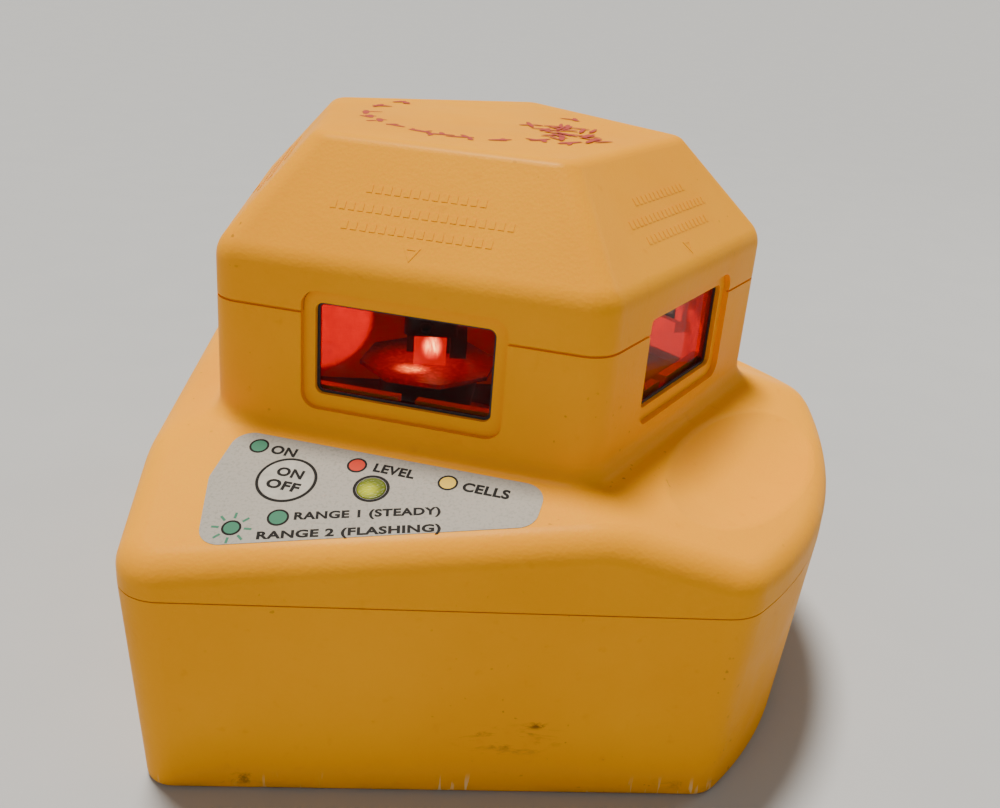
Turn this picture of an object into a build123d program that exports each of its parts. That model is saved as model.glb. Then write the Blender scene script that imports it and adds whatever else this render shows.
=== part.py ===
"""Rotating laser level: a self-levelling spinning laser head in a five-sided turret on a drafted base.

Frame: +Z up, +X towards the rounded nose, -Y towards the control panel.
The origin is on the spin axis, at the mouth of the tripod thread in the underside.
"""

import os
from math import atan, atan2, cos, degrees, radians, sin, sqrt, tan

from build123d import *

os.makedirs("parts", exist_ok=True)

# ---------------------------------------------------------------- driving dimensions (mm, degrees)
turret_x = 12.5            # turret and base centreline, measured from the spin axis
wall = 3.0                 # moulded wall thickness

# base plan, measured from the turret centre at the seam
base_left = 80.0           # to the flat left wall
base_half_width = 93.0     # to the flat front and back walls
nose_centre = -25.0        # centre of the nose arc
nose_radius = 126.5
left_corner_radius = 11.0
nose_corner_radius = 12.0
seam_z = 54.5              # joint between lower and upper housing
draft = 3.9                # the base walls lean in towards the floor
floor_thickness = 3.5
foot_edge_radius = 1.5

# deck: one facet under each turret face
deck_z = 78.5              # height of the deck at the turret wall
deck_slope = 0.335         # fall per mm away from the turret
deck_edge_radius = 7.5
deck_ridge_radius = 30.0
deck_root_radius = 5.0
scoop_half_length = 36.0   # shallow dish on the two nose facets
scoop_half_width = 15.0
scoop_depth = 5.0
scoop_lip_radius = 3.0
scoop_from_wall = 20.8     # dish centre, down the facet from the turret wall

# turret
faces = 5
face_angles = [-108.0, -36.0, 36.0, 108.0, 180.0]
corner_angles = [-144.0, -72.0, 0.0, 72.0, 144.0]
turret_apothem = 64.3
turret_corner_radius = 8.0
turret_inner_apothem = 60.8
cap_seam_z = 108.0
seam_gap = 0.3             # fine groove left along each moulded joint
eave_z = 120.0
roof_z = 145.3
roof_apothem = 42.7
roof_edge_radius = 4.5

# raised legend on each roof slope: rows of plain bars above an arrow
bar_rows = [(20.2, 28.5, 13), (15.2, 43.4, 20), (10.4, 35.5, 16)]   # height up the slope, length, bars
bar_height = 2.0
bar_gap = 0.8
bar_relief = 0.12
arrow_up = 5.8
arrow_radius = 2.4
arrow_stroke = 0.6

# windows
window_width = 43.2
window_height = 22.6
window_sill_z = 87.8
window_corner_radius = 2.0
surround_margin = 3.0      # shallow recess around each window opening
surround_depth = 1.5
surround_foot_z = 84.3
rim_thickness = 1.2        # wall left in front of the window gasket
gasket_thickness = 0.6
gasket_show = 0.7          # gasket seen inside the opening
glass_thickness = 2.0
pane_overlap = 1.8         # pane hidden behind the rim on each side
frame_margin = 4.5         # thickened wall around each pane, measured from the opening
ledge_reach = 2.5          # shelf behind the foot of each pane
ledge_height = 3.4
ledge_notch = 4.3

# control panel, on the facet under the front face (along the face, down the slope)
panel_angle = -108.0
label_thickness = 0.4
label_side = 38.3
label_right = 37.4
label_top = 4.2
label_bend = 20.7
label_foot_left = (-31.3, 40.5)
label_foot_right = (37.4, 16.7)
label_corner_radius = 5.0
button_at = (-20.7, 17.1)
button_radius = 6.3
lens_at = (-1.0, 14.8)
lens_radius = 3.3
board_depth = 7.5          # panel board below the deck surface
board_thickness = 1.6

# battery bay at the back: two C cells end to end
cell_radius = 13.1
cell_length = 50.0
cell_y = 68.0
cell_z = 20.0
bay_half_length = 54.0
door_half_width = 56.0
door_foot = 5.0            # door edges, measured up the drafted back wall
door_head = 36.2
door_thickness = 2.0
hinge_up = 38.4            # hinge axis, up the back wall
hinge_radius = 2.0
hinge_pin_radius = 0.8
barrel_half_length = 40.0
lug_length = 6.0
lug_gap = 0.4              # play between the door's barrel and each lug
running_gap = 0.05

# tripod mount: 5/8-11 UNC
thread_radius = 6.85       # minor radius of the thread
insert_radius = 12.0
insert_length = 18.0
boss_radius = 16.0
boss_height = 20.0

# levelling mechanism
gimbal_z = 55.0
tube_radius = 8.0
ring_inner_radius = 12.0
ring_outer_radius = 17.0
ring_height = 8.0
trunnion_radius = 2.0
trunnion_bearing_radius = 3.5
chassis_z = 46.0
chassis_thickness = 3.0
chassis_radius = 40.0
chassis_bore = 20.0
ear_inner = 19.5
ear_outer = 25.0
post_circle = 34.0
post_angles = [-90.0, 30.0, 150.0]
post_radius = 4.0
damper_z = 28.5
damper_radius = 16.0

# rotor
shaft_radius = 3.0
shaft_bore = 2.1
bearing_radius = 6.5
bearing_width = 5.0
rotor_z = 77.5             # top of the rotor disc
disc_radius = 20.0
disc_turn = 9.0            # one corner of the disc points just behind -X
dish_radius = 15.0
prism_z = 99.0             # height of the laser plane

# screws
housing_screw_radius = 1.9
housing_screw_places = [(-57.0, -76.0), (-57.0, 43.0), (62.5, -74.5), (62.5, 74.5)]
screw_column_cover = 3.2   # from the deck surface down to the top of a base screw's column
small_screw_radius = 1.2   # clearance hole in the boards
post_hole_radius = 1.0
post_screw_radius = 1.5
cap_screw_radius = 1.5
prism_screw_radius = 0.8
counterbore_z = 30.0       # the base screws' heads seat at this height

# derived dimensions
hinge_pin_length = 2 * (barrel_half_length + lug_gap + lug_length) - 2.0
bottom_inset = seam_z * tan(radians(draft))
window_z = window_sill_z + window_height / 2
surround_width = window_width + 2 * surround_margin
surround_top_z = window_sill_z + window_height + surround_margin
recess_apothem = turret_apothem - surround_depth
gasket_apothem = recess_apothem - rim_thickness
glass_apothem = gasket_apothem - gasket_thickness
frame_apothem = glass_apothem - glass_thickness
pane_width = window_width + 2 * pane_overlap
pane_height = window_height + 2 * pane_overlap


# ---------------------------------------------------------------- shared outlines, planes and helpers
def base_outline(z, inset):
    """Plan of the base, shrunk by inset, on a level plane at z."""
    left = turret_x - base_left + inset
    half = base_half_width - inset
    arc_x = turret_x + nose_centre
    arc_r = nose_radius - inset
    nose_x = arc_x + sqrt(arc_r**2 - half**2)
    with BuildSketch(Plane.XY.offset(z)) as outline:
        with BuildLine():
            Polyline((nose_x, half), (left, half), (left, -half), (nose_x, -half))
            ThreePointArc((nose_x, -half), (arc_x + arc_r, 0), (nose_x, half))
        make_face()
        fillet(outline.vertices().group_by(Axis.X)[0], max(left_corner_radius - inset, 1.0))
        fillet(outline.vertices().group_by(Axis.X)[-1], max(nose_corner_radius - inset, 1.0))
    return outline.sketch


def pentagon(z, apothem, corner=0.0):
    """Five-sided turret plan on a level plane at z, one flat facing -X."""
    with BuildSketch(Plane.XY.offset(z)) as outline:
        with Locations((turret_x, 0)):
            RegularPolygon(radius=apothem, side_count=faces, major_radius=False)
        if corner > 0:
            fillet(outline.vertices(), corner)
    return outline.sketch


def face_plane(angle, apothem, z):
    """Upright plane on a turret face: x along the face, y up, z outwards."""
    nx = cos(radians(angle))
    ny = sin(radians(angle))
    return Plane(
        origin=(turret_x + apothem * nx, apothem * ny, z),
        x_dir=(-ny, nx, 0),
        z_dir=(nx, ny, 0),
    )


def facet_plane(angle, lift=0.0):
    """Plane on a deck facet, from the turret wall: x along the face, y up the slope, z outwards."""
    nx = cos(radians(angle))
    ny = sin(radians(angle))
    plane = Plane(
        origin=(turret_x + turret_apothem * nx, turret_apothem * ny, deck_z),
        x_dir=(-ny, nx, 0),
        z_dir=(deck_slope * nx, deck_slope * ny, 1),
    )
    return plane.offset(lift)


def slope_plane(angle, lift=0.0):
    """Plane on a roof slope, from the eave line: x along the face, y up the slope, z outwards."""
    nx = cos(radians(angle))
    ny = sin(radians(angle))
    rise = roof_z - eave_z
    run = turret_apothem - roof_apothem
    plane = Plane(
        origin=(turret_x + turret_apothem * nx, turret_apothem * ny, eave_z),
        x_dir=(-ny, nx, 0),
        z_dir=(rise * nx, rise * ny, run),
    )
    return plane.offset(lift)


# the drafted back wall: x along the wall, y up the wall, z outwards
back_wall = Plane(
    origin=(0, base_half_width - bottom_inset, 0),
    x_dir=(-1, 0, 0),
    z_dir=(0, cos(radians(draft)), -sin(radians(draft))),
)
deck_centre = Vector(turret_x, 0, 0)


def bearing_about_turret(edge):
    """Compass angle of an edge's middle about the turret centre, in degrees."""
    middle = edge.center() - deck_centre
    return degrees(atan2(middle.Y, middle.X))


def on_corner_line(edge):
    """True for an edge that runs out from a turret corner."""
    ends = edge.position_at(0).Z - edge.position_at(1).Z
    off = min(abs(bearing_about_turret(edge) - corner) for corner in corner_angles)
    return abs(ends) > 1.0 and off < 0.5


def on_outer_rim(edge):
    """True for an edge where the deck meets the base's upright outer wall."""
    middle = edge.center() - deck_centre
    ends = edge.position_at(0) - edge.position_at(1)
    upright = abs(ends.X) + abs(ends.Y) < 0.01
    to_nose = nose_radius - sqrt((middle.X - nose_centre) ** 2 + middle.Y**2)
    inside = min(middle.X + base_left, base_half_width - abs(middle.Y), to_nose)
    return middle.Z > seam_z + 1.0 and not upright and inside < 1.5


def on_wall_foot(edge):
    """True for an edge where the turret wall meets the deck."""
    middle = edge.center() - deck_centre
    reach = max(middle.X * cos(radians(a)) + middle.Y * sin(radians(a)) for a in face_angles)
    return abs(reach - turret_apothem) < 2.5 and deck_z - 8 < middle.Z < deck_z + 3


def deck_shape(drop, inset):
    """Base upper shell and deck as a solid, lowered by drop and shrunk by inset."""
    with BuildPart() as shape:
        extrude(base_outline(seam_z, inset), amount=60)
        for angle in face_angles:
            split(bisect_by=facet_plane(angle, -drop), keep=Keep.BOTTOM)
    return shape.part


def screw(plane, head_radius, head_height, shank_radius, shank_length):
    """Pan-head screw with a hexagon socket, head above the plane and shank below it."""
    with BuildPart(plane) as part:
        Cylinder(head_radius, head_height, align=(Align.CENTER, Align.CENTER, Align.MIN))
        fillet(part.edges().group_by(Axis((0, 0, 0), plane.z_dir))[-1], head_height * 0.3)
        Cylinder(shank_radius, shank_length, align=(Align.CENTER, Align.CENTER, Align.MAX))
        with BuildSketch(plane.offset(head_height)):
            RegularPolygon(radius=head_radius * 0.5, side_count=6)
        extrude(amount=-head_height * 0.6, mode=Mode.SUBTRACT)
    return part.part


def facing_down(x, y, z):
    """Plane at a point whose normal points down, for a screw driven from below."""
    return Plane(origin=(x, y, z), x_dir=(1, 0, 0), z_dir=(0, 0, -1))


def save(builder, name):
    """Label a finished piece and write its file."""
    builder.part.label = name
    export_step(builder.part, f"parts/{name}.step")


# ---------------------------------------------------------------- lower housing
post_floor_z = 6.0
board_z = 10.0
board_places = [(-40.0, -76.0), (42.0, -76.0), (-40.0, -48.0), (42.0, -48.0)]

with BuildPart() as lower_housing:
    loft([base_outline(0, bottom_inset), base_outline(seam_z, 0)], ruled=True)
    fillet(lower_housing.faces().sort_by(Axis.Z)[0].edges(), foot_edge_radius)
    cavity_inset = (seam_z - floor_thickness) * tan(radians(draft)) + wall
    loft(
        [base_outline(floor_thickness, cavity_inset), base_outline(seam_z, wall)],
        ruled=True,
        mode=Mode.SUBTRACT,
    )
    # groove along the rim for the base gasket
    extrude(base_outline(seam_z, 0.9), amount=-1.2, mode=Mode.SUBTRACT)
    extrude(base_outline(seam_z, 2.2), amount=-1.2)
    extrude(base_outline(seam_z, wall), amount=-1.2, mode=Mode.SUBTRACT)
    with BuildSketch(Plane.XY.offset(seam_z)):
        add(base_outline(0, 0))
        add(base_outline(0, 0.9), mode=Mode.SUBTRACT)
    extrude(amount=-seam_gap, mode=Mode.SUBTRACT)
    # tripod boss, screw columns, post seats and board pillars
    with Locations((0, 0, 0)):
        Cylinder(boss_radius, boss_height, align=(Align.CENTER, Align.CENTER, Align.MIN))
    with Locations(*[(x, y, floor_thickness) for x, y in housing_screw_places]):
        Cylinder(5.0, seam_z - floor_thickness, align=(Align.CENTER, Align.CENTER, Align.MIN))
    with PolarLocations(post_circle, 3, start_angle=post_angles[0]):
        Cylinder(7.0, post_floor_z, align=(Align.CENTER, Align.CENTER, Align.MIN))
    with Locations(*[(x, y, floor_thickness) for x, y in board_places]):
        Cylinder(3.0, board_z - floor_thickness, align=(Align.CENTER, Align.CENTER, Align.MIN))
    # bores
    Hole(insert_radius, depth=200)
    with Locations(*[(x, y, 0) for x, y in housing_screw_places]):
        Cylinder(housing_screw_radius + 0.2, 200, mode=Mode.SUBTRACT)
        Cylinder(4.2, 2 * counterbore_z, mode=Mode.SUBTRACT)
    with PolarLocations(post_circle, 3, start_angle=post_angles[0]):
        Cylinder(1.7, 40, mode=Mode.SUBTRACT)
        Cylinder(3.4, 5.0, mode=Mode.SUBTRACT)
    with Locations(*[(x, y, board_z) for x, y in board_places]):
        Cylinder(post_hole_radius, 2 * 6.5, mode=Mode.SUBTRACT)
    # battery opening in the back wall, rebate for the door and pocket for its hinge barrel
    with BuildSketch(back_wall.offset(1)):
        with Locations((0, (door_foot + door_head) / 2)):
            Rectangle(2 * bay_half_length - 4, door_head - door_foot - 4)
    extrude(amount=-10, mode=Mode.SUBTRACT)
    with BuildSketch(back_wall.offset(1)):
        with Locations((0, (door_foot + door_head) / 2)):
            RectangleRounded(2 * door_half_width + 0.6, door_head - door_foot + 0.6, 2.3)
    extrude(amount=-door_thickness - 1.2, mode=Mode.SUBTRACT)
    with BuildSketch(back_wall.offset(1)):
        with Locations((0, hinge_up - 1)):
            Rectangle(2 * (barrel_half_length + lug_gap), 2 * hinge_radius + 3)
    extrude(amount=-1 - hinge_radius - 0.5, mode=Mode.SUBTRACT)
    # hinge lugs at both ends of the barrel, bored for the pin
    for side in (-1, 1):
        lug_middle = side * (barrel_half_length + lug_gap + lug_length / 2)
        with Locations(back_wall * Pos(lug_middle, hinge_up, 0) * Rot(0, 90, 0)):
            Cylinder(hinge_radius, lug_length)
    with Locations(back_wall * Pos(0, hinge_up, 0) * Rot(0, 90, 0)):
        Cylinder(hinge_pin_radius, hinge_pin_length, mode=Mode.SUBTRACT)
save(lower_housing, "lower_housing")

# ---------------------------------------------------------------- upper housing
label_recess = 0.3
stem_radius = 2.0
cap_column = 24.0
cap_column_circle = 70.5
cap_screw_places = [
    (turret_x + cap_column_circle * cos(radians(a)), cap_column_circle * sin(radians(a)))
    for a in corner_angles
]
panel_posts = [(-31.0, -13.5), (12.0, -11.0), (-24.0, -33.0)]


def deck_top(x, y):
    """Height of the deck surface above a point of the plan."""
    reach = max((x - turret_x) * cos(radians(a)) + y * sin(radians(a)) for a in face_angles)
    return deck_z - deck_slope * (reach - turret_apothem)


def label_outline():
    """Control panel outline on its facet: it follows the turret above and the base walls below."""
    with BuildSketch() as outline:
        with BuildLine():
            Polyline(
                (-label_side, -label_top),
                (label_right, -label_top),
                (label_foot_right[0], -label_foot_right[1]),
                (label_foot_left[0], -label_foot_left[1]),
                (-label_side, -label_bend),
                close=True,
            )
        make_face()
        fillet(outline.vertices(), label_corner_radius)
    return outline.sketch


def scoop(angle, grow):
    """Doubly curved dish tool on a deck facet, grown outwards for the wall behind it."""
    long_radius = (scoop_half_length**2 + scoop_depth**2) / (2 * scoop_depth)
    short_radius = (scoop_half_width**2 + scoop_depth**2) / (2 * scoop_depth)
    ring = Torus(long_radius - short_radius, short_radius + grow, rotation=(90, 0, 0))
    reach = scoop_depth + grow + 1
    slab_width = 2 * (scoop_half_width + grow + 2)
    slab = Pos(0, 0, 0.3 - reach / 2) * Box(2 * scoop_half_length + 6, slab_width, reach)
    dish = (Pos(0, 0, long_radius - scoop_depth) * ring) & slab
    return facet_plane(angle) * Pos(0, -scoop_from_wall, 0) * dish


scoop_angles = (-36.0, 36.0)
scoops = [scoop(angle, 0) for angle in scoop_angles]
inner_deck = deck_shape(wall, wall) - [scoop(angle, wall) for angle in scoop_angles]
panel = facet_plane(panel_angle)

with BuildPart() as upper_housing:
    add(deck_shape(0, 0))
    fillet(upper_housing.edges().filter_by(on_corner_line), deck_ridge_radius)
    fillet(upper_housing.edges().filter_by(on_outer_rim), deck_edge_radius)
    extrude(pentagon(seam_z, turret_apothem, turret_corner_radius), amount=cap_seam_z - seam_z)
    fillet(upper_housing.edges().filter_by(on_wall_foot), deck_root_radius)
    for tool in scoops:
        add(tool, mode=Mode.SUBTRACT)
        fillet(upper_housing.edges(Select.LAST).filter_by(GeomType.BSPLINE), scoop_lip_radius)
    # hollow inside
    add(inner_deck, mode=Mode.SUBTRACT)
    extrude(
        pentagon(seam_z, turret_inner_apothem, turret_corner_radius - wall),
        amount=cap_seam_z - seam_z,
        mode=Mode.SUBTRACT,
    )
    # columns for the base screws and the cap screws
    for x, y in housing_screw_places:
        column_height = deck_top(x, y) - screw_column_cover - seam_z
        with Locations((x, y, seam_z)):
            Cylinder(5.0, column_height, align=(Align.CENTER, Align.CENTER, Align.MIN))
            Cylinder(housing_screw_radius, 2 * 9.0, mode=Mode.SUBTRACT)
    with Locations(*[(x, y, cap_seam_z) for x, y in cap_screw_places]):
        Cylinder(4.2, cap_column, align=(Align.CENTER, Align.CENTER, Align.MAX))
        Cylinder(1.7, 2 * cap_column + 2, mode=Mode.SUBTRACT)
    for angle in face_angles:
        # shallow surround, standing up past the cap seam
        with BuildSketch(face_plane(angle, recess_apothem, (surround_foot_z + 120) / 2)):
            RectangleRounded(surround_width, 120 - surround_foot_z, 4.0)
        extrude(amount=5, mode=Mode.SUBTRACT)
        tab_foot_z = cap_seam_z - 8
        with BuildSketch(face_plane(angle, recess_apothem, (tab_foot_z + surround_top_z) / 2)):
            RectangleRounded(surround_width - 0.3, surround_top_z - tab_foot_z, 3.9)
        extrude(amount=turret_inner_apothem - recess_apothem)
        # thicker frame behind the wall, with a shelf at its foot
        with BuildSketch(face_plane(angle, turret_inner_apothem, window_z)):
            Rectangle(window_width + 2 * frame_margin, 2 * (surround_top_z - window_z))
        extrude(amount=frame_apothem - turret_inner_apothem)
        with BuildSketch(face_plane(angle, frame_apothem, window_sill_z - 1.0)):
            Rectangle(window_width + 2 * frame_margin, ledge_height)
            Rectangle(ledge_notch, ledge_height, mode=Mode.SUBTRACT)
        extrude(amount=-ledge_reach)
        # opening, and rebate for the pane and its gasket
        with BuildSketch(face_plane(angle, turret_apothem, window_z)):
            RectangleRounded(window_width, window_height, window_corner_radius)
        extrude(amount=-(turret_apothem - frame_apothem), mode=Mode.SUBTRACT)
        with BuildSketch(face_plane(angle, gasket_apothem, window_z)):
            RectangleRounded(pane_width + 0.1, pane_height + 0.1, window_corner_radius)
        extrude(amount=-(gasket_apothem - frame_apothem), mode=Mode.SUBTRACT)
    # control panel: recess for the label, button guide, lens hole and board posts
    with BuildSketch(panel):
        add(label_outline())
    extrude(amount=-label_recess, mode=Mode.SUBTRACT)
    with Locations(panel * Pos(button_at[0], -button_at[1], -wall + 1.0)):
        Cylinder(9.0, 4.5, align=(Align.CENTER, Align.CENTER, Align.MAX))
    with Locations(panel * Pos(button_at[0], -button_at[1], 0)):
        Cylinder(button_radius + running_gap, 2 * 3.0, mode=Mode.SUBTRACT)
        Cylinder(stem_radius + running_gap, 40, mode=Mode.SUBTRACT)
    with Locations(panel * Pos(lens_at[0], -lens_at[1], 0)):
        Cylinder(lens_radius + 0.1, 2 * 6.0, mode=Mode.SUBTRACT)
    with Locations(*[panel * Pos(x, y, -wall + 1.0) for x, y in panel_posts]):
        Cylinder(2.4, board_depth - wall + 1.0, align=(Align.CENTER, Align.CENTER, Align.MAX))
    with Locations(*[panel * Pos(x, y, -board_depth) for x, y in panel_posts]):
        Cylinder(post_hole_radius, 2 * 3.0, mode=Mode.SUBTRACT)
    # fine groove along the seams
    with BuildSketch(Plane.XY.offset(cap_seam_z)):
        add(pentagon(0, turret_apothem + 1))
        add(pentagon(0, turret_apothem - 0.8, turret_corner_radius - 0.8), mode=Mode.SUBTRACT)
    extrude(amount=-seam_gap, mode=Mode.SUBTRACT)
save(upper_housing, "upper_housing")

# ---------------------------------------------------------------- roof cap
with BuildPart() as cap_core:
    core_plan = pentagon(cap_seam_z - 1, turret_inner_apothem, turret_corner_radius - wall)
    extrude(core_plan, amount=roof_z - wall - cap_seam_z + 1)
    for angle in face_angles:
        split(bisect_by=slope_plane(angle, -wall), keep=Keep.BOTTOM)

with BuildPart() as roof_cap:
    extrude(pentagon(cap_seam_z, turret_apothem), amount=roof_z - cap_seam_z)
    for angle in face_angles:
        split(bisect_by=slope_plane(angle), keep=Keep.BOTTOM)
    eaves = roof_cap.edges().filter_by_position(Axis.Z, eave_z - 2, eave_z + 2)
    fillet(roof_cap.edges().filter_by(on_corner_line) + eaves, turret_corner_radius)
    fillet(roof_cap.faces().sort_by(Axis.Z)[-1].edges(), roof_edge_radius)
    add(cap_core.part, mode=Mode.SUBTRACT)
    with Locations(*[(x, y, cap_seam_z) for x, y in cap_screw_places]):
        Cylinder(4.2, 10.0, align=(Align.CENTER, Align.CENTER, Align.MIN))
        Cylinder(cap_screw_radius, 2 * 9.0, mode=Mode.SUBTRACT)
    with BuildSketch(Plane.XY.offset(cap_seam_z)):
        add(pentagon(0, turret_apothem + 1))
        add(pentagon(0, turret_apothem - 0.8, turret_corner_radius - 0.8), mode=Mode.SUBTRACT)
    extrude(amount=seam_gap, mode=Mode.SUBTRACT)
    for angle in face_angles:
        notch_foot_z = cap_seam_z - 8
        notch_middle_z = (notch_foot_z + surround_top_z) / 2
        with BuildSketch(face_plane(angle, turret_inner_apothem - 0.5, notch_middle_z)):
            RectangleRounded(surround_width, surround_top_z - notch_foot_z + 0.15, 4.0)
        extrude(amount=6, mode=Mode.SUBTRACT)
        # raised legend: three rows of bars above an arrow that points to the window
        with BuildSketch(slope_plane(angle, -0.2)):
            for up, length, count in bar_rows:
                pitch = (length + bar_gap) / count
                with Locations((0, up)):
                    with GridLocations(pitch, 0, count, 1):
                        Rectangle(pitch - bar_gap, bar_height)
            with Locations((0, arrow_up)):
                RegularPolygon(arrow_radius, 3, rotation=-90)
                RegularPolygon(arrow_radius - 2 * arrow_stroke, 3, rotation=-90, mode=Mode.SUBTRACT)
        extrude(amount=bar_relief + 0.2)
save(roof_cap, "roof_cap")

# ---------------------------------------------------------------- base gasket
with BuildPart() as base_gasket:
    extrude(base_outline(seam_z, 0.9), amount=-1.2)
    extrude(base_outline(seam_z, 2.2), amount=-1.2, mode=Mode.SUBTRACT)
save(base_gasket, "base_gasket")

# ---------------------------------------------------------------- windows and their gaskets
for index, angle in enumerate(face_angles, start=1):
    with BuildPart() as window_gasket:
        with BuildSketch(face_plane(angle, gasket_apothem, window_z)):
            RectangleRounded(pane_width, pane_height, window_corner_radius)
            RectangleRounded(
                window_width - 2 * gasket_show,
                window_height - 2 * gasket_show,
                window_corner_radius - gasket_show,
                mode=Mode.SUBTRACT,
            )
        extrude(amount=-gasket_thickness)
    save(window_gasket, f"window_gasket_{index}")

    with BuildPart() as window:
        with BuildSketch(face_plane(angle, glass_apothem, window_z)):
            RectangleRounded(pane_width, pane_height, window_corner_radius)
        extrude(amount=-glass_thickness)
    save(window, f"window_{index}")

# ---------------------------------------------------------------- control panel
button_plane = panel * Pos(button_at[0], -button_at[1], 0)
lens_plane = panel * Pos(lens_at[0], -lens_at[1], 0)
button_thickness = 2.0
stem_length = 6.4
switch_plunger = 0.9

with BuildPart() as panel_label:
    with BuildSketch(panel.offset(-label_recess)):
        add(label_outline())
        with Locations((button_at[0], -button_at[1])):
            Circle(button_radius + running_gap, mode=Mode.SUBTRACT)
        with Locations((lens_at[0], -lens_at[1])):
            Circle(lens_radius + 0.1, mode=Mode.SUBTRACT)
    extrude(amount=label_thickness)
save(panel_label, "panel_label")

with BuildPart() as power_button:
    with Locations(button_plane * Pos(0, 0, 0.15)):
        Cylinder(button_radius, button_thickness, align=(Align.CENTER, Align.CENTER, Align.MAX))
        Cylinder(stem_radius, stem_length, align=(Align.CENTER, Align.CENTER, Align.MAX))
save(power_button, "power_button")

with BuildPart() as status_lens:
    with Locations(lens_plane):
        Cylinder(lens_radius, 3.6, align=(Align.CENTER, Align.CENTER, Align.MAX))
        Cylinder(lens_radius, 0.3, align=(Align.CENTER, Align.CENTER, Align.MIN))
    fillet(status_lens.faces().sort_by(Axis(panel.origin, panel.z_dir))[-1].edges(), 0.28)
save(status_lens, "status_lens")

with BuildPart() as status_led:
    with Locations(lens_plane * Pos(0, 0, -board_depth)):
        Cylinder(2.5, 1.0, align=(Align.CENTER, Align.CENTER, Align.MIN))
        with Locations((0, 0, 1.0)):
            Cylinder(2.0, 2.2, align=(Align.CENTER, Align.CENTER, Align.MIN))
save(status_led, "status_led")

# the board follows the turret above and the front wall below
panel_board_corners = [(-35.0, -6.0), (17.0, -6.0), (17.0, -26.5), (-5.0, -34.5), (-35.0, -36.0)]
with BuildPart() as panel_board:
    with BuildSketch(panel.offset(-board_depth)) as sk:
        with BuildLine():
            Polyline(*panel_board_corners, close=True)
        make_face()
        fillet(sk.vertices(), 2.0)
        with Locations(*panel_posts):
            Circle(small_screw_radius, mode=Mode.SUBTRACT)
    extrude(amount=-board_thickness)
save(panel_board, "panel_board")

with BuildPart() as power_switch:
    with Locations(button_plane * Pos(0, 0, -board_depth)):
        Box(6.0, 6.0, 0.3, align=(Align.CENTER, Align.CENTER, Align.MIN))
        Cylinder(1.75, switch_plunger - 0.25, align=(Align.CENTER, Align.CENTER, Align.MIN))
save(power_switch, "power_switch")

# ---------------------------------------------------------------- fasteners of the shell
with BuildPart() as housing_screws:
    for x, y in housing_screw_places:
        add(screw(facing_down(x, y, counterbore_z), 3.8, 3.6, housing_screw_radius, 33.0))
save(housing_screws, "housing_screws")

with BuildPart() as cap_screws:
    for x, y in cap_screw_places:
        add(screw(facing_down(x, y, cap_seam_z - cap_column), 2.9, 2.4, cap_screw_radius, cap_column + 8.0))
save(cap_screws, "cap_screws")

with BuildPart() as tripod_insert:
    with Locations((0, 0, 0)):
        Cylinder(insert_radius, insert_length, align=(Align.CENTER, Align.CENTER, Align.MIN))
        Cylinder(thread_radius, 3 * insert_length, mode=Mode.SUBTRACT)
save(tripod_insert, "tripod_insert")

# ---------------------------------------------------------------- battery bay
tray_wall = 1.5
tray_front = cell_y - cell_radius - 1.0
tray_back = 86.4
tray_foot = floor_thickness
tray_head = cell_z + cell_radius + 0.9
tray_middle = (tray_front + tray_back) / 2

with BuildPart() as battery_tray:
    with BuildSketch(Plane.YZ.offset(-bay_half_length - tray_wall)):
        with BuildLine():
            Polyline(
                (tray_front - tray_wall, tray_foot),
                (tray_back, tray_foot),
                (tray_back, tray_head + tray_wall),
                (tray_front - tray_wall, tray_head + tray_wall),
                close=True,
            )
        make_face()
    extrude(amount=2 * (bay_half_length + tray_wall))
    with Locations((0, (tray_front + 100) / 2, (tray_foot + tray_wall + tray_head) / 2)):
        Box(2 * bay_half_length, 100 - tray_front, tray_head - tray_foot - tray_wall, mode=Mode.SUBTRACT)
    # ribs that cradle the cells, and slots in the end walls for the contacts
    with Locations((-25, 0, 0), (25, 0, 0)):
        with Locations((0, tray_middle, tray_foot + tray_wall)):
            Box(2.0, tray_back - tray_front - 2, 3.0, align=(Align.CENTER, Align.CENTER, Align.MIN))
    with Locations((0, cell_y, cell_z)):
        Cylinder(cell_radius + 0.1, 2 * cell_length + 1, rotation=(0, 90, 0), mode=Mode.SUBTRACT)
save(battery_tray, "battery_tray")

cell_nub_radius = 3.5
cell_nub_height = 1.5
for index, start_x in enumerate((-cell_length, 0.0), start=1):
    can_length = cell_length - cell_nub_height
    with BuildPart() as battery_cell:
        with Locations((start_x + can_length / 2, cell_y, cell_z)):
            Cylinder(cell_radius, can_length, rotation=(0, 90, 0))
        fillet(battery_cell.edges().filter_by(GeomType.CIRCLE), 0.8)
        with Locations((start_x + can_length, cell_y, cell_z)):
            Cylinder(cell_nub_radius, 2 * cell_nub_height, rotation=(0, 90, 0))
    save(battery_cell, f"battery_cell_{index}")

contact_thickness = 0.5
contact_width = 14.0
contact_height = 16.0
spring_wire = 0.5
spring_turns = 3
spring_radius = 6.0
dimple_radius = 3.0
dimple_reach = 3.4
with BuildPart() as battery_contacts:
    for side in (-1, 1):
        with Locations((side * (bay_half_length - contact_thickness / 2), cell_y, cell_z)):
            Box(contact_thickness, contact_width, contact_height)
    # the negative spring, drawn as stacked shrinking coils
    for turn in range(spring_turns):
        coil_x = -bay_half_length + contact_thickness + spring_wire + turn * 2 * spring_wire
        with Locations((coil_x - spring_wire / 2, cell_y, cell_z)):
            Cylinder(spring_radius - turn, spring_wire * 2, rotation=(0, 90, 0))
            Cylinder(spring_radius - 1.4 - turn, spring_wire * 2, rotation=(0, 90, 0), mode=Mode.SUBTRACT)
    # the positive dimple
    with Locations((bay_half_length - contact_thickness - dimple_reach / 2, cell_y, cell_z)):
        Cylinder(dimple_radius, dimple_reach, rotation=(0, 90, 0))
save(battery_contacts, "battery_contacts")

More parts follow.
